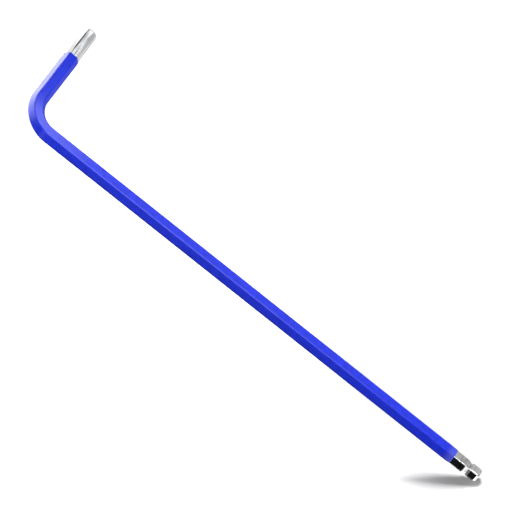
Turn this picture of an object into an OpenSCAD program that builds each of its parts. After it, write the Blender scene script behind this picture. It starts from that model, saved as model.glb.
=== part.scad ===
// Ball-end hex key: a bent hexagonal steel bar with a plain tip on its short arm, a ball on its
// long arm and a thin blue coat over the middle.
// It lies on the flats of its hexagon, with the long arm along +X and the short arm along +Y.
// The origin is at the middle of its footprint, on the surface it lies on.

/* [Bar] */
// Size of the drive, across the flats of the bare steel
drive_size = 3; // [2.5:0.1:6]
// How far each corner of the drawn bar falls short of a sharp one
corner_trim = 0.04; // [0.02:0.01:0.06]
// Length of the long arm, from the outside of the bend to the nose of the ball
long_arm = 120; // [90:0.1:180]
// Length of the short arm, from the outside of the bend to the flat tip
short_arm = 27.7; // [24:0.1:45]
// Radius of the bend, at the middle of the bar
bend_radius = 6; // [5:0.1:8]

/* [Plain tip] */
// Length of bare steel at the short arm's tip
bare_tip = 7.7; // [3:0.1:9]
// How far the turned chamfer cuts in from the flats at the tip
tip_chamfer = 0.12; // [0.05:0.01:0.3]

/* [Ball end] */
// Length of bare steel at the ball end
bare_ball = 6.6; // [5.5:0.1:12]
// How far the ball's faces lie inside the bar's flats, so that it turns in a socket
ball_relief = 0.02; // [0.01:0.01:0.1]
// How far the ball's corners are turned down below sharp ones
ball_corner_trim = 0.1; // [0.07:0.01:0.16]
// Width across the flat nose
nose_flat = 2.4; // [1.8:0.1:2.4]
// Chamfer round the nose
nose_chamfer = 0.05; // [0.03:0.01:0.1]
// Length of the ball's sloping front, from the nose
front_bevel = 0.55; // [0.5:0.05:1.1]
// Distance from the nose back to the narrowest part of the neck
neck_back = 2.6; // [2.4:0.05:3.2]
// Depth of the neck below the bar's flats
neck_depth = 0.37; // [0.2:0.01:0.5]
// Length of the slope at the back of the ball
ball_slope = 0.5; // [0.4:0.05:0.7]
// Length of the bar's taper down to the neck
neck_taper = 0.9; // [0.7:0.05:1.4]

/* [Coat] */
// Thickness of the coat
coat_thickness = 0.12; // [0.05:0.01:0.3]

/* [Hidden] */
$fn = 96;

steel_colour = [0.72, 0.73, 0.74];
coat_colour = [0.16, 0.22, 0.85];

coated_size = drive_size + 2 * coat_thickness;
coat_corner = corner_radius(coated_size);

// Middles of the two arms meet at the zero of these distances
nose_x = long_arm - coat_corner;
tip_y = short_arm - coat_corner;
coat_end_x = nose_x - bare_ball;
coat_end_y = tip_y - bare_tip;

bar_half = drive_size / 2;
ball_half = bar_half - ball_relief;
ball_corner = 2 * ball_half / sqrt(3) - ball_corner_trim;
neck_half = bar_half - neck_depth;
nose_half = nose_flat / 2;
tip_radius = bar_half - tip_chamfer;
// Cuts run this far past the piece
past = 1;

// Distance from the middle of a hexagon to its trimmed corner
function corner_radius(across) = across / sqrt(3) - corner_trim;

// Hexagon with slightly rounded corners, two of its flats level
module hex_section(across) {
    intersection() {
        circle(r = across / sqrt(3), $fn = 6);
        circle(r = corner_radius(across));
    }
}

// Outline of the coat, a hexagonal ring that fits the bar
module coat_section() {
    difference() {
        hex_section(coated_size);
        hex_section(drive_size);
    }
}

// Carries the drawn outline along the long arm, between two distances
module along_long_arm(from, to) {
    translate([from, 0, 0])
        rotate([90, 0, 90])
            linear_extrude(height = to - from)
                children();
}

// Carries the drawn outline along the short arm, between two distances
module along_short_arm(from, to) {
    translate([0, from, 0])
        rotate([-90, 0, 0])
            linear_extrude(height = to - from)
                children();
}

// Carries the drawn outline round the bend
module round_bend() {
    translate([bend_radius, bend_radius, 0])
        rotate([0, 0, 180])
            rotate_extrude(angle = 90)
                translate([bend_radius, 0])
                    children();
}

// What is cut from one flat to form the ball: x runs along the bar with the nose at zero, and
// y is the distance from the middle of the bar
module face_cut() {
    reach = bar_half + past;
    polygon([
        [-neck_back - neck_taper * (1 + past / neck_depth), reach],
        [-neck_back, neck_half],
        [-neck_back + ball_slope, ball_half],
        [-front_bevel, ball_half],
        [-nose_chamfer, nose_half + nose_chamfer],
        [0, nose_half],
        [past, nose_half],
        [past, reach]
    ]);
}

// What is turned off the ball's corners, in front of the neck
module corner_cut() {
    run = neck_back + past;
    translate([-neck_back, 0, 0])
        rotate([0, 90, 0])
            difference() {
                cylinder(h = run, r = drive_size);
                translate([0, 0, -past])
                    cylinder(h = run + 2 * past, r = ball_corner);
            }
}

// The long arm's straight stretch: the same cut goes across each of its six flats
module ball_arm() {
    difference() {
        along_long_arm(bend_radius, nose_x)
            hex_section(drive_size);
        for (turn = [0 : 60 : 300])
            translate([nose_x, 0, 0])
                rotate([turn + 90, 0, 0])
                    linear_extrude(height = drive_size + 2 * past, center = true)
                        face_cut();
        translate([nose_x, 0, 0])
            corner_cut();
    }
}

// The short arm's straight stretch, with the turned chamfer at its tip
module plain_tip() {
    run = tip_y - bend_radius;
    intersection() {
        along_short_arm(bend_radius, tip_y)
            hex_section(drive_size);
        translate([0, bend_radius, 0])
            rotate([-90, 0, 0])
                cylinder(h = run, r1 = tip_radius + run, r2 = tip_radius);
    }
}

// Stands the key on its flats, with its footprint centred on the origin
module lay_down() {
    translate([coat_corner - long_arm / 2, coat_corner - short_arm / 2, coated_size / 2])
        children();
}

module steel_key() {
    color(steel_colour)
        lay_down() {
            plain_tip();
            round_bend()
                hex_section(drive_size);
            ball_arm();
        }
}

module blue_coating() {
    color(coat_colour)
        lay_down() {
            along_short_arm(bend_radius, coat_end_y)
                coat_section();
            round_bend()
                coat_section();
            along_long_arm(bend_radius, coat_end_x)
                coat_section();
        }
}

steel_key();
blue_coating();
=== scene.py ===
import math

import bpy
from mathutils import Matrix, Vector


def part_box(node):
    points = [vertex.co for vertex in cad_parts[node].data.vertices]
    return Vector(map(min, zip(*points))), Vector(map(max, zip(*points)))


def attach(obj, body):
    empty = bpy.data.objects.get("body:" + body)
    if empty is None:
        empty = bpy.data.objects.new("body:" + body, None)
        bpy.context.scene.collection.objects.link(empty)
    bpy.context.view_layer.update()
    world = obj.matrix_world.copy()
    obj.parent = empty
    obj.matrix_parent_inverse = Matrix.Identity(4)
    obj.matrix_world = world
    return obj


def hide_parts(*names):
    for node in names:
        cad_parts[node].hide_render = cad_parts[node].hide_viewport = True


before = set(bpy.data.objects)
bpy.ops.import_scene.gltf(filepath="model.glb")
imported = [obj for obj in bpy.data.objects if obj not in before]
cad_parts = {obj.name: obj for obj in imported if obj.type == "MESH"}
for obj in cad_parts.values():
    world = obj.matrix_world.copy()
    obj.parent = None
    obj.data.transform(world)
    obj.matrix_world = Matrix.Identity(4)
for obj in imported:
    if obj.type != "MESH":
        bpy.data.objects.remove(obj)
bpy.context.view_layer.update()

# The view: the key lies on its flats and is seen from above, through a long lens 0.8 m away.
# The camera is rolled so that the long arm runs from the upper left to the lower right.
lean_along_bar = math.radians(5.914)
lean_across_bar = math.radians(33.153)
camera_roll = math.radians(38.493)
camera_distance = 0.8
view_centre = Vector((-0.003917, -0.005897, 0.00503))

to_camera = Vector((-math.tan(lean_along_bar), -math.tan(lean_across_bar), 1)).normalized()
bar_in_view = (Vector((1, 0, 0)) - to_camera.x * to_camera).normalized()
across_in_view = to_camera.cross(bar_in_view)
view_right = math.cos(camera_roll) * bar_in_view + math.sin(camera_roll) * across_in_view
view_up = math.cos(camera_roll) * across_in_view - math.sin(camera_roll) * bar_in_view


def facing(place, right, up, back):
    """The matrix of an object at a place, with its own X, Y and Z turned right, up and back."""
    return Matrix.Translation(place) @ Matrix((right, up, back)).transposed().to_4x4()


camera_data = bpy.data.cameras.new("camera")
camera_data.sensor_width = 36
camera_data.lens = 276.1
camera_data.clip_start = 0.05
camera_data.clip_end = 20
camera = bpy.data.objects.new("camera", camera_data)
camera.matrix_world = facing(view_centre + camera_distance * to_camera, view_right, view_up, to_camera)
bpy.context.collection.objects.link(camera)
bpy.context.scene.camera = camera

# The steel key: one drawn hexagonal bar of alloy steel, bent once to a right angle. The short arm's tip
# is cut square and chamfered. The long arm's end is ground on all six flats into a ball with a neck
# behind it. The bare ends are bright, with fine marks along the bar, and across it by the neck.
mm = 0.001
steel_low, steel_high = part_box("steel_key")
drive_size = steel_high.z - steel_low.z
bar_level = (steel_high.z + steel_low.z) / 2
steel_corner_trim = 0.04 * mm
steel_corner_radius = 0.28 * mm
corner_reach = drive_size / math.sqrt(3) - steel_corner_trim
short_arm_x = steel_low.x + corner_reach
long_arm_y = steel_low.y + corner_reach
bend_radius = 6 * mm
bend_steps = 48
# In millimetres, and outside the bar, so that such a stretch keeps its corners
uncut = 2.0


def key_path(name, tip_end, ball_end, tip_steps, ball_steps):
    """The bar's middle line from the tip to the ball. Each step gives the distance back from its end,
    the girth there as a share of the full bar, and the radius that the corners are turned down to.
    Distances and radii are in millimetres."""
    turn_x, turn_y = short_arm_x + bend_radius, long_arm_y + bend_radius
    points = [(short_arm_x, tip_end - back * mm, girth, turned) for back, girth, turned in tip_steps]
    for step in range(bend_steps + 1):
        angle = math.radians(180 + 90 * step / bend_steps)
        points.append((turn_x + bend_radius * math.cos(angle), turn_y + bend_radius * math.sin(angle),
                       1, uncut))
    points += [(ball_end - back * mm, long_arm_y, girth, turned)
               for back, girth, turned in reversed(ball_steps)]

    line = bpy.data.meshes.new(name)
    line.from_pydata([(x, y, bar_level) for x, y, girth, turned in points],
                     [(i, i + 1) for i in range(len(points) - 1)], [])
    line.attributes.new("girth", "FLOAT", "POINT").data.foreach_set(
        "value", [girth for x, y, girth, turned in points])
    line.attributes.new("turned", "FLOAT", "POINT").data.foreach_set(
        "value", [turned * mm for x, y, girth, turned in points])
    path = bpy.data.objects.new(name, line)
    bpy.context.collection.objects.link(path)
    return path


def add_node(tree, kind, links=None, **settings):
    """A new node in a tree: settings are its own properties, and links are what its sockets hold."""
    node = tree.nodes.new(kind)
    for name, value in settings.items():
        setattr(node, name, value)
    for socket, source in (links or {}).items():
        if isinstance(source, bpy.types.NodeSocket):
            tree.links.new(source, node.inputs[socket])
        else:
            node.inputs[socket].default_value = source
    return node


def calculated(tree, operation, *values):
    """What a Math node makes of some values."""
    return add_node(tree, "ShaderNodeMath", dict(enumerate(values)), operation=operation).outputs[0]


def vector_calculated(tree, operation, links):
    """What a Vector Math node makes of what its sockets hold: a number where it is a length or a dot
    product, and otherwise a vector."""
    node = add_node(tree, "ShaderNodeVectorMath", links, operation=operation)
    return node.outputs["Value" if operation in ("LENGTH", "DOT_PRODUCT") else "Vector"]


def faded(tree, value, start, end, low=0.0, high=1.0, smooth=False):
    """A number that goes from low to high while a value goes from start to end."""
    return add_node(tree, "ShaderNodeMapRange", {
        "Value": value, "From Min": start, "From Max": end, "To Min": low, "To Max": high},
        interpolation_type="SMOOTHSTEP" if smooth else "LINEAR").outputs["Result"]


# Geometry Nodes carry a hexagon with rounded corners along the bar's middle line
bar_tree = bpy.data.node_groups.new("hexagonal bar along a path", "GeometryNodeTree")
bar_input = {}
for title, kind in (
    ("Path", "NodeSocketGeometry"),
    ("Across Flats", "NodeSocketFloat"),
    ("Corner Radius", "NodeSocketFloat"),
    ("Cuts Across Flats", "NodeSocketInt"),
    ("Closed Ends", "NodeSocketBool"),
    ("Ragged Ends", "NodeSocketFloat"),
    ("Material", "NodeSocketMaterial"),
):
    bar_input[title] = bar_tree.interface.new_socket(title, in_out="INPUT", socket_type=kind).identifier
bar_tree.interface.new_socket("Bar", in_out="OUTPUT", socket_type="NodeSocketGeometry")


def keep_on_points(geometry, title, kind, value):
    """The geometry with a value kept on each of its points, under a title."""
    return add_node(bar_tree, "GeometryNodeStoreNamedAttribute", {
        "Geometry": geometry, "Name": title, "Value": value},
        data_type=kind, domain="POINT").outputs["Geometry"]


def kept_on_points(title, kind="FLOAT"):
    """The value that the points keep under a title."""
    return add_node(bar_tree, "GeometryNodeInputNamedAttribute", {"Name": title},
                    data_type=kind).outputs["Attribute"]


bar_size = add_node(bar_tree, "NodeGroupInput").outputs
point_place = add_node(bar_tree, "GeometryNodeInputPosition").outputs["Position"]
spline_along = add_node(bar_tree, "GeometryNodeSplineParameter").outputs["Length"]
spline_length = add_node(bar_tree, "GeometryNodeSplineLength").outputs["Length"]
spline_tangent = add_node(bar_tree, "GeometryNodeInputTangent").outputs["Tangent"]
measured_path = add_node(bar_tree, "GeometryNodeMeshToCurve", {"Mesh": bar_size["Path"]}).outputs["Curve"]
for title, kind, value in (
    ("along", "FLOAT", spline_along),
    ("to_ball", "FLOAT", calculated(bar_tree, "SUBTRACT", spline_length, spline_along)),
    ("axis", "FLOAT_VECTOR", spline_tangent),
    ("middle", "FLOAT_VECTOR", point_place),
):
    measured_path = keep_on_points(measured_path, title, kind, value)

corner_distance = calculated(bar_tree, "MULTIPLY", bar_size["Across Flats"], 1 / math.sqrt(3))
sharp_hexagon = add_node(bar_tree, "GeometryNodeCurvePrimitiveCircle", {
    "Resolution": 6, "Radius": corner_distance}, mode="RADIUS")
hexagon = add_node(bar_tree, "GeometryNodeFilletCurve", {
    "Curve": sharp_hexagon.outputs["Curve"], "Count": 8, "Radius": bar_size["Corner Radius"]}, mode="POLY")
cut_hexagon = add_node(bar_tree, "GeometryNodeSubdivideCurve", {
    "Curve": hexagon.outputs["Curve"], "Cuts": bar_size["Cuts Across Flats"]})
bar_section = keep_on_points(cut_hexagon.outputs["Curve"], "section", "FLOAT_VECTOR", point_place)
swept = add_node(bar_tree, "GeometryNodeCurveToMesh", {
    "Curve": measured_path, "Profile Curve": bar_section,
    "Scale": kept_on_points("girth"), "Fill Caps": bar_size["Closed Ends"]})

# Corners that stand out past the turned radius are brought in to it
middle = kept_on_points("middle", "FLOAT_VECTOR")
outward = vector_calculated(bar_tree, "SUBTRACT", {0: point_place, 1: middle})
standing_out = vector_calculated(bar_tree, "LENGTH", {0: outward})
turned_share = calculated(bar_tree, "DIVIDE", kept_on_points("turned"), standing_out)
kept_share = calculated(bar_tree, "MINIMUM", turned_share, 1.0)
brought_in = vector_calculated(bar_tree, "SCALE", {0: outward, "Scale": kept_share})
turned_place = vector_calculated(bar_tree, "ADD", {0: middle, 1: brought_in})

# Ragged ends creep a little along the bar, by a fixed noise
ragged_reach = 1.2 * mm
nearest_end = calculated(bar_tree, "MINIMUM", kept_on_points("along"), kept_on_points("to_ball"))
near_end = faded(bar_tree, nearest_end, start=0.0, end=ragged_reach, low=1.0, high=0.0, smooth=True)
creep_noise = add_node(bar_tree, "ShaderNodeTexNoise", {"Vector": point_place, "Scale": 650.0, "Detail": 2.0})
creep = calculated(bar_tree, "ADD", creep_noise.outputs["Fac"], -0.5)
creep_near_end = calculated(bar_tree, "MULTIPLY", creep, near_end)
creep_length = calculated(bar_tree, "MULTIPLY", creep_near_end, bar_size["Ragged Ends"])
creep_offset = vector_calculated(bar_tree, "SCALE", {
    0: kept_on_points("axis", "FLOAT_VECTOR"), "Scale": creep_length})
shaped = add_node(bar_tree, "GeometryNodeSetPosition", {
    "Geometry": swept.outputs["Mesh"], "Position": turned_place, "Offset": creep_offset})

# A closed end, the only face with more than four corners, becomes a fan of faces about its middle, so
# that it holds no slivers
merge_distance = 0.0005 * mm
face_corners = add_node(bar_tree, "GeometryNodeInputMeshFaceNeighbors")
is_end = add_node(bar_tree, "FunctionNodeCompare", {
    2: face_corners.outputs["Vertex Count"], 3: 4}, data_type="INT", operation="GREATER_THAN")
doubled_end = add_node(bar_tree, "GeometryNodeExtrudeMesh", {
    "Mesh": shaped.outputs["Geometry"], "Selection": is_end.outputs["Result"], "Offset Scale": 0.0},
    mode="FACES")
drawn_in_end = add_node(bar_tree, "GeometryNodeScaleElements", {
    "Geometry": doubled_end.outputs["Mesh"], "Selection": doubled_end.outputs["Top"], "Scale": 0.0},
    domain="FACE")
fanned_end = add_node(bar_tree, "GeometryNodeMergeByDistance", {
    "Geometry": drawn_in_end.outputs["Geometry"], "Distance": merge_distance})

crease_angle = math.radians(14)
smooth = add_node(bar_tree, "GeometryNodeSetShadeSmooth", {
    "Geometry": fanned_end.outputs["Geometry"]}, domain="FACE")
edge_angle = add_node(bar_tree, "GeometryNodeInputMeshEdgeAngle")
is_sharp = add_node(bar_tree, "FunctionNodeCompare", {
    0: edge_angle.outputs["Unsigned Angle"], 1: crease_angle}, data_type="FLOAT", operation="GREATER_THAN")
creased = add_node(bar_tree, "GeometryNodeSetShadeSmooth", {
    "Geometry": smooth.outputs["Geometry"], "Selection": is_sharp.outputs["Result"], "Shade Smooth": False},
    domain="EDGE")
realized = add_node(bar_tree, "GeometryNodeRealizeInstances", {"Geometry": creased.outputs["Geometry"]})
finished = add_node(bar_tree, "GeometryNodeSetMaterial", {
    "Geometry": realized.outputs["Geometry"], "Material": bar_size["Material"]})
add_node(bar_tree, "NodeGroupOutput", {"Bar": finished.outputs["Geometry"]})


def sweep_bar(path, piece_name, sizes, wall=None):
    """The plain mesh that the tree makes along a path, with normals that keep the flats flat."""
    sweep = path.modifiers.new("sweep", "NODES")
    sweep.node_group = bar_tree
    for title, value in sizes.items():
        sweep[bar_input[title]] = value
    if wall:
        skin = path.modifiers.new("wall", "SOLIDIFY")
        skin.thickness = wall
        skin.offset = -1
        skin.use_even_offset = True
    path.modifiers.new("flat flats", "WEIGHTED_NORMAL").keep_sharp = True
    depsgraph = bpy.context.evaluated_depsgraph_get()
    mesh = bpy.data.meshes.new_from_object(path.evaluated_get(depsgraph), preserve_all_data_layers=True,
                                           depsgraph=depsgraph)
    mesh.name = piece_name
    bpy.data.objects.remove(path)
    piece = bpy.data.objects.new(piece_name, mesh)
    bpy.context.collection.objects.link(piece)
    return piece


def on_surface(tree, title, output="Fac"):
    """What the tree's surface keeps under a title, as a number or as a vector."""
    return add_node(tree, "ShaderNodeAttribute", attribute_name=title).outputs[output]


# Grain that follows the bar: noise drawn out along it, the same all the way round. Nearly all of it
# lies between two values
grain_low, grain_high = 0.3, 0.7
grain_group = bpy.data.node_groups.new("grain along the bar", "ShaderNodeTree")
for title in ("Along Scale", "Across Scale", "Detail", "Shift"):
    grain_group.interface.new_socket(title, in_out="INPUT", socket_type="NodeSocketFloat")
grain_group.interface.new_socket("Grain", in_out="OUTPUT", socket_type="NodeSocketFloat")
grain_size = add_node(grain_group, "NodeGroupInput").outputs
section_place = add_node(grain_group, "ShaderNodeSeparateXYZ", {
    "Vector": on_surface(grain_group, "section", "Vector")}).outputs
along_place = calculated(grain_group, "MULTIPLY", on_surface(grain_group, "along"), grain_size["Along Scale"])
grain_place = add_node(grain_group, "ShaderNodeCombineXYZ", {
    "X": calculated(grain_group, "ADD", along_place, grain_size["Shift"]),
    "Y": calculated(grain_group, "MULTIPLY", section_place["X"], grain_size["Across Scale"]),
    "Z": calculated(grain_group, "MULTIPLY", section_place["Y"], grain_size["Across Scale"])})
grain_noise = add_node(grain_group, "ShaderNodeTexNoise", {
    "Vector": grain_place.outputs["Vector"], "Scale": 1.0, "Detail": grain_size["Detail"]})
add_node(grain_group, "NodeGroupOutput", {"Grain": grain_noise.outputs["Fac"]})


def grain(tree, along_scale, across_scale, detail, shift):
    """Grain for one material, with its scales in waves to the metre."""
    return add_node(tree, "ShaderNodeGroup", {
        "Along Scale": along_scale, "Across Scale": across_scale, "Detail": detail, "Shift": shift},
        node_tree=grain_group).outputs["Grain"]


# Corners of the hexagon: 0 over the flats, rising to 1 on the rounded corners
corner_group = bpy.data.node_groups.new("corners of the bar", "ShaderNodeTree")
for title in ("Flat Distance", "Corner Distance"):
    corner_group.interface.new_socket(title, in_out="INPUT", socket_type="NodeSocketFloat")
corner_group.interface.new_socket("Corner", in_out="OUTPUT", socket_type="NodeSocketFloat")
corner_size = add_node(corner_group, "NodeGroupInput").outputs
section_reach = vector_calculated(corner_group, "LENGTH", {0: on_surface(corner_group, "section", "Vector")})
corner_mask = faded(corner_group, section_reach, start=corner_size["Flat Distance"],
                    end=corner_size["Corner Distance"], smooth=True)
add_node(corner_group, "NodeGroupOutput", {"Corner": corner_mask})


def two_tone(tree, value, low, low_colour, high, high_colour):
    """A colour that goes from one to another while a value goes from low to high."""
    node = add_node(tree, "ShaderNodeValToRGB", {"Fac": value})
    first, last = node.color_ramp.elements
    first.position, first.color = low, (*low_colour, 1)
    last.position, last.color = high, (*high_colour, 1)
    return node.outputs["Color"]


def mixed(tree, share, first, second, kind="RGBA"):
    """The first colour or number, giving way to the second by a share."""
    return add_node(tree, "ShaderNodeMix", {"Factor": share, "A": first, "B": second},
                    data_type=kind).outputs["Result"]


steel = bpy.data.materials.new("bright_ground_steel")
steel.use_nodes = True
steel_nodes = steel.node_tree
steel_shader = steel_nodes.nodes["Principled BSDF"]
steel_shader.inputs["Metallic"].default_value = 1
steel_shader.inputs["Anisotropic"].default_value = 0.4
steel_shader.inputs["Anisotropic Rotation"].default_value = 0.25
steel_along = on_surface(steel_nodes, "along")
steel_to_ball = on_surface(steel_nodes, "to_ball")
steel_streaks = grain(steel_nodes, along_scale=170, across_scale=2900, detail=3, shift=3.4)
steel_blotches = grain(steel_nodes, along_scale=500, across_scale=900, detail=4, shift=7)
steel_marks = grain(steel_nodes, along_scale=2600, across_scale=300, detail=2, shift=5)
white = (1, 1, 1, 1)
tip_highlight_white = (0.95, 0.95, 0.95, 1)
burnished_white = (0.94, 0.94, 0.95, 1)
scratch_depth = 0.01 * mm

# Colour: streaks along the bar, a painted brightening behind the ball, marks across the neck, a bright ball,
# a painted highlight on the tip's end, and burnished corners. What sets the two ends apart changes under the
# coat
steel_colour = two_tone(steel_nodes, steel_streaks, low=0.32, low_colour=(0.50, 0.50, 0.51),
                        high=0.66, high_colour=(0.98, 0.98, 0.98))
# Painted reflection: from 30 mm before the ball the steel is whitened, so that its reflections there are
# brighter
steel_painted_brightening = faded(steel_nodes, steel_to_ball, start=30 * mm, end=20 * mm, high=0.12)
steel_with_painted_brightening = mixed(steel_nodes, steel_painted_brightening, steel_colour, white)
steel_ground = faded(steel_nodes, steel_to_ball, start=6.6 * mm, end=4.2 * mm, smooth=True)
steel_ground_colour = two_tone(steel_nodes, steel_marks, low=0.36, low_colour=(0.38, 0.38, 0.39),
                               high=0.60, high_colour=(0.90, 0.90, 0.90))
steel_finish = mixed(steel_nodes, steel_ground, steel_with_painted_brightening, steel_ground_colour)
steel_on_ball = faded(steel_nodes, steel_to_ball, start=2.7 * mm, end=2.2 * mm, high=0.65)
steel_bright_ball = mixed(steel_nodes, steel_on_ball, steel_finish, white)
# Painted highlight: the tip's end and its last one to two millimetres are whitened, with a ragged edge from
# the streaks
steel_ragged_highlight_edge = calculated(steel_nodes, "MULTIPLY_ADD", steel_streaks, -4.0 * mm, steel_along)
steel_tip_highlight = faded(steel_nodes, steel_ragged_highlight_edge, start=0.4 * mm, end=-1.5 * mm, smooth=True)
steel_with_tip_highlight = mixed(steel_nodes, steel_tip_highlight, steel_bright_ball, tip_highlight_white)
steel_corners = add_node(steel_nodes, "ShaderNodeGroup", {
    "Flat Distance": 1.60 * mm, "Corner Distance": 1.68 * mm}, node_tree=corner_group).outputs["Corner"]
steel_burnished = mixed(steel_nodes, steel_corners, steel_with_tip_highlight, burnished_white)

# Roughness: blotches, smoother by the ball, duller where the tip's highlight is painted, and even on the
# corners
steel_dull = faded(steel_nodes, steel_blotches, start=grain_low, end=grain_high, low=0.14, high=0.22)
steel_smoother_ball = faded(steel_nodes, steel_to_ball, start=20 * mm, end=8 * mm, low=1.0, high=0.6)
steel_dull_there = calculated(steel_nodes, "MULTIPLY", steel_dull, steel_smoother_ball)
steel_roughness = mixed(steel_nodes, steel_tip_highlight, steel_dull_there, 0.25, "FLOAT")
steel_corner_dull = faded(steel_nodes, steel_along, start=10 * mm, end=20 * mm, low=0.09, high=0.24)
steel_even_corners = mixed(steel_nodes, steel_corners, steel_roughness, steel_corner_dull, "FLOAT")
steel_bump = add_node(steel_nodes, "ShaderNodeBump", {
    "Height": steel_streaks, "Strength": 0.25, "Distance": scratch_depth})
for socket, source in (
    ("Base Color", steel_burnished),
    ("Roughness", steel_even_corners),
    ("Normal", steel_bump.outputs["Normal"]),
    ("Tangent", on_surface(steel_nodes, "axis", "Vector")),
):
    steel_nodes.links.new(source, steel_shader.inputs[socket])

# The tip's chamfer is turned at 45 degrees, and use has worn its corners down. The ball's corners are
# turned down, and behind it the flats taper to a neck
tip_face_radius, worn_radius, ball_turned = 1.38, 1.60, 1.609
worn_tip = [(0.04 * step, 1, tip_face_radius + 0.04 * step) for step in range(6)]
worn_tip += [(0.24 + 0.8 * step, 1, worn_radius + 0.01 * step) for step in range(10)]
ball_and_neck = [
    (0, 0.80, ball_turned), (0.05, 0.833, ball_turned), (0.55, 0.987, ball_turned),
    (2.10, 0.987, ball_turned), (2.56, 0.772, ball_turned), (2.60, 0.761, uncut), (2.66, 0.770, uncut),
    (3.46, 0.989, uncut), (3.54, 0.999, uncut), (3.7, 1, uncut)]
steel_key = sweep_bar(
    key_path("steel_path", steel_high.y, steel_high.x, worn_tip, ball_and_neck),
    "steel_key_bar", {
        "Across Flats": drive_size, "Corner Radius": steel_corner_radius, "Cuts Across Flats": 5,
        "Closed Ends": True, "Ragged Ends": 0.0, "Material": steel})
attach(steel_key, "root")
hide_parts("steel_key")

# The coat: a thin blue polymer skin that is sprayed on the bar and baked, from the short arm's tip
# to just behind the ball. It is bonded to the steel all over and follows its hexagon with softer
# corners. Its ends are masked by hand, so they are a little ragged, and it thins out towards the ball.
coat_low, coat_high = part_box("blue_coating")
coated_size = coat_high.z - coat_low.z
coat_corner_radius = 0.40 * mm
coat_wall = 0.115 * mm
coat_raggedness = 0.4 * mm
coat_thin_blue = (0.06, 0.08, 0.64, 1)

coat = bpy.data.materials.new("blue_polymer_coat")
coat.use_nodes = True
coat_nodes = coat.node_tree
coat_shader = coat_nodes.nodes["Principled BSDF"]
coat_shader.inputs["Anisotropic"].default_value = 0.96
coat_shader.inputs["Anisotropic Rotation"].default_value = 0.25
coat_along = on_surface(coat_nodes, "along")
coat_to_ball = on_surface(coat_nodes, "to_ball")
coat_mottle = grain(coat_nodes, along_scale=1500, across_scale=2200, detail=5, shift=3)
coat_lines = grain(coat_nodes, along_scale=150, across_scale=4000, detail=2, shift=11)

# Colour: mottled, darkened by painted shade towards the short arm's tip and the ball, and thin at the ball's
# end
coat_colour = two_tone(coat_nodes, coat_mottle, low=0.36, low_colour=(0.003, 0.020, 0.62),
                       high=0.66, high_colour=(0.004, 0.029, 0.88))
# Painted shade: the coat's colour is dimmed on the short arm and along the long arm towards the ball
coat_painted_shade_by_tip = faded(coat_nodes, coat_along, start=11 * mm, end=25 * mm, low=0.83, high=0.98)
coat_painted_shade_by_ball = faded(coat_nodes, coat_to_ball, start=100 * mm, end=20 * mm, low=1.0, high=0.91)
coat_painted_shade_colour = vector_calculated(coat_nodes, "SCALE", {
    0: coat_colour, "Scale": calculated(coat_nodes, "MULTIPLY", coat_painted_shade_by_tip, coat_painted_shade_by_ball)})
coat_thin = faded(coat_nodes, coat_to_ball, start=2.3 * mm, end=0.7 * mm, smooth=True)
coat_thinned = mixed(coat_nodes, coat_thin, coat_painted_shade_colour, coat_thin_blue)
coat_roughness = faded(coat_nodes, coat_mottle, start=grain_low, end=grain_high, low=0.275, high=0.33)
coat_bump = add_node(coat_nodes, "ShaderNodeBump", {
    "Height": coat_lines, "Strength": 0.2, "Distance": scratch_depth})
for socket, source in (
    ("Base Color", coat_thinned),
    ("Roughness", coat_roughness),
    ("Normal", coat_bump.outputs["Normal"]),
    ("Tangent", on_surface(coat_nodes, "axis", "Vector")),
):
    coat_nodes.links.new(source, coat_shader.inputs[socket])

coat_tip_end = [(back, girth, uncut) for back, girth in (
    (0, 0.938), (0.05, 0.962), (0.12, 0.982), (0.25, 0.995), (0.45, 1), (0.8, 1), (1.2, 1))]
coat_ball_end = [(back, girth, uncut) for back, girth in (
    (0, 0.936), (0.06, 0.95), (0.15, 0.965), (0.35, 0.98), (0.7, 0.993), (1.2, 0.998), (2.4, 1))]
blue_coat = sweep_bar(
    key_path("coat_path", coat_high.y, coat_high.x, coat_tip_end, coat_ball_end),
    "blue_coat_skin", {
        "Across Flats": coated_size, "Corner Radius": coat_corner_radius, "Cuts Across Flats": 1,
        "Closed Ends": False, "Ragged Ends": coat_raggedness, "Material": coat}, wall=coat_wall)
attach(blue_coat, "root")
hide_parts("blue_coating")

# The floor: a white sheet that the ball stands on, level in the picture and seen from above.
# It shows only the soft shadow by the ball. Past the picture's edges, and from below, it is clear, so
# that the white room shows.
floor_tilt = math.radians(37.3)
floor_half = 2
floor_up = math.cos(floor_tilt) * view_up + math.sin(floor_tilt) * to_camera
floor_back = view_right.cross(floor_up)
floor_level = min(floor_up.dot(vertex.co) for vertex in steel_key.data.vertices)
floor_middle = view_centre + floor_up * (floor_level - floor_up.dot(view_centre))
floor_mesh = bpy.data.meshes.new("floor")
floor_mesh.from_pydata(
    [floor_middle + floor_half * (across * view_right + deep * floor_back)
     for across, deep in ((-1, 1), (1, 1), (1, -1), (-1, -1))], [], [(0, 1, 2, 3)])
floor = bpy.data.objects.new("floor", floor_mesh)
bpy.context.collection.objects.link(floor)
if floor_mesh.polygons[0].normal.dot(floor_up) < 0:
    floor_mesh.flip_normals()
floor.visible_glossy = False
floor.visible_diffuse = False

sheet_middle = floor_middle - 76 * mm * floor_back
sheet_half_width = 120 * mm
sheet_half_depth = 180 * mm
paper_grey = (0.4, 0.4, 0.4, 1)

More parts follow.
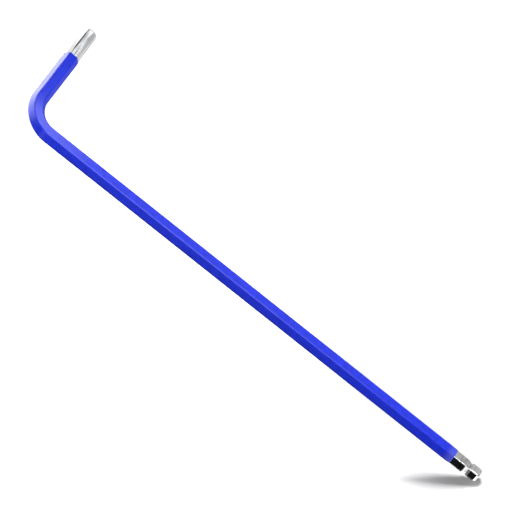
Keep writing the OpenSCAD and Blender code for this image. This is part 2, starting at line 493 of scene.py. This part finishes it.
paper = bpy.data.materials.new("white_paper")
paper.use_nodes = True
paper_nodes = paper.node_tree
paper_nodes.nodes.clear()
paper_face = add_node(paper_nodes, "ShaderNodeBsdfDiffuse", {"Color": paper_grey})
paper_place = add_node(paper_nodes, "ShaderNodeTexCoord").outputs["Object"]
paper_from_middle = vector_calculated(paper_nodes, "SUBTRACT", {0: paper_place, 1: sheet_middle})
paper_across, paper_deep = (
    vector_calculated(paper_nodes, "DOT_PRODUCT", {0: paper_from_middle, 1: way})
    for way in (view_right / sheet_half_width, floor_back / sheet_half_depth))
paper_offset = add_node(paper_nodes, "ShaderNodeCombineXYZ", {"X": paper_across, "Y": paper_deep})
paper_distance = vector_calculated(paper_nodes, "LENGTH", {0: paper_offset.outputs["Vector"]})
paper_away = faded(paper_nodes, paper_distance, start=0.72, end=1.0, smooth=True)
paper_from_below = add_node(paper_nodes, "ShaderNodeNewGeometry").outputs["Backfacing"]
paper_clear = add_node(paper_nodes, "ShaderNodeBsdfTransparent")
paper_mix = add_node(paper_nodes, "ShaderNodeMixShader", {
    0: calculated(paper_nodes, "MAXIMUM", paper_away, paper_from_below),
    1: paper_face.outputs["BSDF"], 2: paper_clear.outputs["BSDF"]})
add_node(paper_nodes, "ShaderNodeOutputMaterial", {"Surface": paper_mix.outputs["Shader"]})
floor_mesh.materials.append(paper)

# The lights: a key lamp over the bend and a broad fill lamp in front. A side lamp, a small lamp by the
# bend and a window that shows in the gloss reach only the coat. Four more reach only the floor: one
# overhead lays the shadow, two let it fade out at its ends, and a spot clears the arm's faint shadow.
floor_only = bpy.data.collections.new("floor_only")
floor_only.objects.link(floor)
not_floor = bpy.data.collections.new("not_floor")
not_floor.objects.link(floor)
not_floor.collection_objects[0].light_linking.link_state = "EXCLUDE"
coat_only = bpy.data.collections.new("coat_only")
coat_only.objects.link(blue_coat)


def stand_light(data, placing, reaches, mirrored=False):
    """Puts a light in the room. It reaches one collection, and shows in gloss only where it is mirrored."""
    light = bpy.data.objects.new(data.name, data)
    light.matrix_world = placing
    light.light_linking.receiver_collection = reaches
    light.visible_glossy = mirrored
    light.visible_camera = False
    bpy.context.collection.objects.link(light)
    return light


def studio_lamp(name, place, aim, width, level, tint=(1, 1, 1), reaches=not_floor, mirrored=True):
    """A round lamp. Its level is how bright a white face turned to it is at the point that it aims at."""
    lamp = bpy.data.lights.new(name, "AREA")
    lamp.shape = "DISK"
    lamp.size = width
    lamp.energy = level * math.pi ** 2 * (place - aim).length_squared
    lamp.color = tint
    turn = (place - aim).to_track_quat("Z", "Y").to_matrix().to_4x4()
    stand_light(lamp, Matrix.Translation(place) @ turn, reaches, mirrored)


bend_inset = 0.3 * bend_radius
bend_middle = Vector((short_arm_x + bend_inset, long_arm_y + bend_inset, bar_level))
short_arm_middle = Vector((short_arm_x, 0, bar_level))
studio_lamp("key_lamp", place=Vector((-0.066, 0.0865, 0.210)), aim=bend_middle,
            width=0.06, level=0.241, tint=(0.94, 1.0, 1.05))
studio_lamp("fill_lamp", place=view_centre + 0.8 * Vector((0.017, -0.276, 0.961)), aim=view_centre,
            width=0.30, level=0.368)
studio_lamp("side_lamp", place=short_arm_middle + 0.4 * Vector((0.90, 0.0, 0.436)), aim=short_arm_middle,
            width=0.20, level=0.40, reaches=coat_only)
studio_lamp("bend_lamp", place=bend_middle + 0.026 * Vector((-0.78, -0.58, 0.22)), aim=bend_middle,
            width=0.02, level=0.34, reaches=coat_only, mirrored=False)

window_way = Vector((-0.75, 0.20, -0.425)).normalized()
window_wide = (Vector((0, 1, 0)) - window_way.y * window_way).normalized()
window_width, window_height = 2.4, 1.1
window_radiance = 9.0
window_light = bpy.data.lights.new("window", "AREA")
window_light.shape = "ELLIPSE"
window_light.size, window_light.size_y = window_width, window_height
window_light.energy = window_radiance * math.pi * (math.pi / 4 * window_width * window_height)
window_light.use_nodes = True
window_nodes = window_light.node_tree
window_nodes.nodes.clear()
window_place = add_node(window_nodes, "ShaderNodeNewGeometry").outputs["Parametric"]
window_offset = vector_calculated(window_nodes, "ADD", {0: window_place, 1: (-0.5, -0.5, 0)})
window_distance = vector_calculated(window_nodes, "LENGTH", {0: window_offset})
window_soft = faded(window_nodes, window_distance, start=0.5, end=0.14, smooth=True)
window_glow = add_node(window_nodes, "ShaderNodeEmission", {"Strength": window_soft})
add_node(window_nodes, "ShaderNodeOutputLight", {"Surface": window_glow.outputs["Emission"]})
window = stand_light(window_light, facing(
    short_arm_middle + window_way, window_wide, window_way.cross(window_wide), window_way),
    reaches=coat_only, mirrored=True)
window.visible_diffuse = False

overhead_way = (view_up + 0.22 * to_camera).normalized()
overhead_distance = 0.7
overhead = bpy.data.lights.new("overhead", "AREA")
overhead.shape = "RECTANGLE"
overhead.size, overhead.size_y = 0.24, 0.23
overhead.energy = 12.4
stand_light(overhead, facing(steel_high + overhead_distance * overhead_way, view_right,
                             overhead_way.cross(view_right), overhead_way), reaches=floor_only)

nose = Vector((steel_high.x, long_arm_y, bar_level))
below_nose = nose + floor_up * (floor_level - floor_up.dot(nose))
for name, across, deep, height, energy in (
    ("far_fade", -21.0 * mm, 0, 8.8 * mm, 0.0078),
    ("near_fade", 0.2 * mm, 3.4 * mm, 1.5 * mm, 0.00019),
):
    fade = bpy.data.lights.new(name, "POINT")
    fade.energy = energy
    fade.shadow_soft_size = 0.2 * mm
    fade.use_shadow = False
    stand_light(fade, Matrix.Translation(
        below_nose + across * view_right + deep * floor_back + height * floor_up), reaches=floor_only)

spot_height, spot_reach = 0.6, 0.3
spot_edge = 22.5 * mm
spot = bpy.data.lights.new("floor_spot", "SPOT")
spot.energy = 19
spot.spot_size = 2 * math.atan(spot_reach / spot_height)
spot.spot_blend = 0.05
spot.shadow_soft_size = 1 * mm
spot.use_shadow = False
stand_light(spot, facing(below_nose - (spot_edge + spot_reach) * view_right + spot_height * floor_up,
                         view_right, floor_up.cross(view_right), floor_up), reaches=floor_only)

# The flag: a small black cloth that is held off the short arm's tip. The camera doesn't see it, and it
# shows only as a dark line along the tip's outer corner.
flag_distance = 30 * mm
flag_ahead, flag_aside = 0.562 * flag_distance, 0.827 * flag_distance
tip_corner = Vector((short_arm_x - drive_size / 2 / math.sqrt(3), steel_high.y, steel_high.z))
flag_points = []
for back, angle in ((7.5 * mm, 95), (7.5 * mm, 200), (7.9 * mm, 150)):
    around = math.radians(angle)
    flag_points.append(tip_corner + Vector(
        (flag_aside * math.cos(around), flag_ahead - back, flag_aside * math.sin(around))))
flag_mesh = bpy.data.meshes.new("black_flag")
flag_mesh.from_pydata(flag_points, [], [(0, 1, 2)])
flag = bpy.data.objects.new("black_flag", flag_mesh)
bpy.context.collection.objects.link(flag)
flag.visible_camera = False
flag.visible_diffuse = False
flag.visible_shadow = False
flag_cloth = bpy.data.materials.new("black_cloth")
flag_cloth.use_nodes = True
flag_shader = flag_cloth.node_tree.nodes["Principled BSDF"]
flag_shader.inputs["Base Color"].default_value = (0.01, 0.01, 0.01, 1)
flag_shader.inputs["Roughness"].default_value = 1
flag_mesh.materials.append(flag_cloth)

# The room: white to the camera and even for plain surfaces. In the steel it shows as a white room
# with a grey wall behind, a dark table below and a black screen in front.
world = bpy.data.worlds.new("room")
bpy.context.scene.world = world
world.use_nodes = True
room = world.node_tree
room.nodes.clear()
seen_way = add_node(room, "ShaderNodeTexCoord").outputs["Generated"]


def card(before, towards, half_width, half_height, edge, brightness):
    """An oval card of one brightness in front of what the room shows before. The half sizes are the
    sines of its angles as seen from the key, and the edge is the share of them that is soft."""
    middle = Vector(towards).normalized()
    wide = (Vector((1, 0, 0)) - middle.x * middle).normalized()
    high = middle.cross(wide)
    across, upright, ahead = (
        vector_calculated(room, "DOT_PRODUCT", {0: seen_way, 1: way})
        for way in (wide / half_width, high / half_height, middle))
    offset = add_node(room, "ShaderNodeCombineXYZ", {"X": across, "Y": upright})
    distance = vector_calculated(room, "LENGTH", {0: offset.outputs["Vector"]})
    inside = faded(room, distance, start=1.0, end=1.0 - edge, smooth=True)
    in_front = calculated(room, "GREATER_THAN", ahead, 0.0)
    share = calculated(room, "MULTIPLY", inside, in_front)
    return mixed(room, share, before, brightness, "FLOAT")


# The grey wall, a dim card past the ball, one past the tip, the table, a dark corner and the screen
white_room = 1.3
shown = white_room
for towards, half_width, half_height, edge, brightness in (
    ((0.40, 0.72, 0.57), 1.05, 1.05, 0.25, 0.50),
    ((0.75, -0.16, 0.62), 0.42, 0.55, 0.30, 0.30),
    ((-0.73, 0.53, 0.43), 0.38, 0.38, 0.40, 0.45),
    ((0.0, 0.55, -0.83), 0.66, 0.75, 0.30, 0.10),
    ((-0.62, -0.77, -0.15), 0.42, 1.10, 0.30, 0.20),
    ((0.09, -0.95, -0.20), 0.26, 1.25, 0.20, 0.008),
):
    shown = card(shown, towards, half_width, half_height, edge, brightness)
room_grey = (0.42, 0.42, 0.42, 1)
room_light = add_node(room, "ShaderNodeBackground", {"Color": room_grey, "Strength": 1.0})
room_seen = add_node(room, "ShaderNodeBackground", {"Color": white, "Strength": 1.0})
room_reflected = add_node(room, "ShaderNodeBackground", {"Color": white, "Strength": shown})
ray = add_node(room, "ShaderNodeLightPath").outputs
plain_or_shiny = add_node(room, "ShaderNodeMixShader", {
    0: calculated(room, "MAXIMUM", ray["Is Glossy Ray"], ray["Is Transmission Ray"]),
    1: room_light.outputs["Background"], 2: room_reflected.outputs["Background"]})
all_rays = add_node(room, "ShaderNodeMixShader", {
    0: ray["Is Camera Ray"], 1: plain_or_shiny.outputs["Shader"], 2: room_seen.outputs["Background"]})
add_node(room, "ShaderNodeOutputWorld", {"Surface": all_rays.outputs["Shader"]})

bpy.context.scene.view_settings.view_transform = "Standard"
